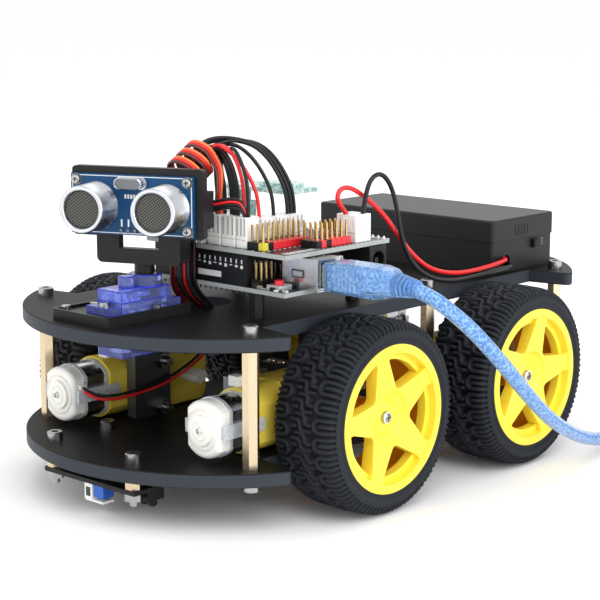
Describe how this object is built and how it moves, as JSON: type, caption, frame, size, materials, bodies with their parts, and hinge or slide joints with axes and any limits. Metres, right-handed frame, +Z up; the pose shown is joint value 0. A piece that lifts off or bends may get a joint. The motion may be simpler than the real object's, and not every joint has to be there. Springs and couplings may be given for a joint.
{
  "type": "four wheel robot chassis",
  "caption": "Robot car of stacked round-ended plates with geared motors, yellow wheels, a servo-turned distance sensor, control boards, a battery box and a USB cable.",
  "frame": {"origin": "on the ground under the middle of the plates, midway between the two axles", "axes": "+Z up; -Y is the way the robot drives, so its sensor head is at -Y; +X is its left side"},
  "size_m": [0.2183, 0.2682, 0.1265],
  "materials": {
    "aluminium_part": "extruded, mill finish",
    "axle": "white nylon",
    "board": "black solder mask",
    "box": "textured black plastic",
    "bracket": "black plastic",
    "brass_part": "bright brass",
    "button": "red plastic",
    "can": "plated steel",
    "cap": "white nylon",
    "cell": "sleeved cell",
    "connector": "white nylon",
    "driver": "red solder mask",
    "gearbox": "moulded yellow plastic",
    "header": "moulded black plastic",
    "lead_black": "black insulation",
    "lead_orange": "orange, red and brown insulation",
    "lead_red": "red insulation",
    "module": "teal solder mask",
    "pins": "gold plated pins on plastic bases",
    "plate": "black acrylic sheet",
    "port_shell": "tinned steel",
    "rim": "moulded yellow plastic",
    "screw": "nickel plated",
    "servo": "translucent blue plastic",
    "servo_hub": "black plastic",
    "sonar_pcb": "blue solder mask",
    "spacer": "black nylon",
    "transducer": "drawn aluminium",
    "tyre": "moulded rubber",
    "usb_blue": "translucent blue vinyl"
  },
  "bodies": {
    "chassis": {"battery_box": "box", "battery_cells": "cell", "battery_lead_black": "lead_black", "battery_lead_red": "lead_red", "board_spacers": "spacer", "bracket_screws": "screw", "controller_board": "board", "controller_headers": "header", "deck_screws": "screw", "driver_board": "driver", "gearbox_fl": "gearbox", "gearbox_fr": "gearbox", "gearbox_rl": "gearbox", "gearbox_rr": "gearbox", "harness_front": "lead_black", "harness_rear": "lead_black", "line_sensor": "board", "lower_plate": "plate", "motor_brackets": "aluminium_part", "motor_cans": "can", "motor_end_caps": "cap", "motor_leads": "lead_red", "power_jack": "header", "servo_case": "servo", "servo_lead": "lead_orange", "servo_lead_coil": "lead_orange", "servo_screws": "screw", "servo_tray": "plate", "shield_board": "board", "shield_pins": "pins", "sonar_lead": "lead_black", "standoffs": "brass_part", "upper_plate": "plate", "usb_cable": "usb_blue", "usb_coil": "usb_blue", "usb_end_plug": "usb_blue", "usb_plug": "usb_blue", "usb_socket": "port_shell", "wire_connectors": "connector", "wireless_module": "module"},
    "wheel_fl": {"rim_fl": "rim", "tyre_fl": "tyre", "axle_fl": "axle"},
    "wheel_fr": {"rim_fr": "rim", "tyre_fr": "tyre", "axle_fr": "axle"},
    "wheel_rl": {"rim_rl": "rim", "tyre_rl": "tyre", "axle_rl": "axle"},
    "wheel_rr": {"rim_rr": "rim", "tyre_rr": "tyre", "axle_rr": "axle"},
    "head": {"servo_output": "servo_hub", "sensor_bracket": "bracket", "sonar_board": "sonar_pcb", "sonar_transducers": "transducer", "sonar_screws": "screw"},
    "reset": {"reset_button": "button"},
    "switch": {"power_switch": "box"},
    "lid": {"battery_lid": "box"}
  },
  "joints": [
    {"name": "wheel_fl_spin", "type": "hinge", "parent": "chassis", "child": "wheel_fl", "pos_m": [0.0364, -0.0415, 0.0336], "axis": [1, 0, 0], "continuous": true},
    {"name": "wheel_fr_spin", "type": "hinge", "parent": "chassis", "child": "wheel_fr", "pos_m": [-0.0364, -0.0415, 0.0336], "axis": [1, 0, 0], "continuous": true},
    {"name": "wheel_rl_spin", "type": "hinge", "parent": "chassis", "child": "wheel_rl", "pos_m": [0.0364, 0.0415, 0.0336], "axis": [1, 0, 0], "continuous": true},
    {"name": "wheel_rr_spin", "type": "hinge", "parent": "chassis", "child": "wheel_rr", "pos_m": [-0.0364, 0.0415, 0.0336], "axis": [1, 0, 0], "continuous": true},
    {"name": "head_pan", "type": "hinge", "parent": "chassis", "child": "head", "pos_m": [0, -0.0858, 0.0845], "axis": [0, 0, 1], "range_deg": [-86, 14], "deforming": ["sonar_lead"]},
    {"name": "reset_press", "type": "slide", "parent": "chassis", "child": "reset", "axis": [0, 0, -1], "range_m": [0, 0.0003], "stiffness_N_per_m": 500},
    {"name": "switch_slide", "type": "slide", "parent": "chassis", "child": "switch", "axis": [0, 1, 0], "range_m": [0, 0.004]},
    {"name": "lid_lift", "type": "slide", "parent": "chassis", "child": "lid", "axis": [0, 0, 1], "range_m": [0, 0.025]}
  ]
}
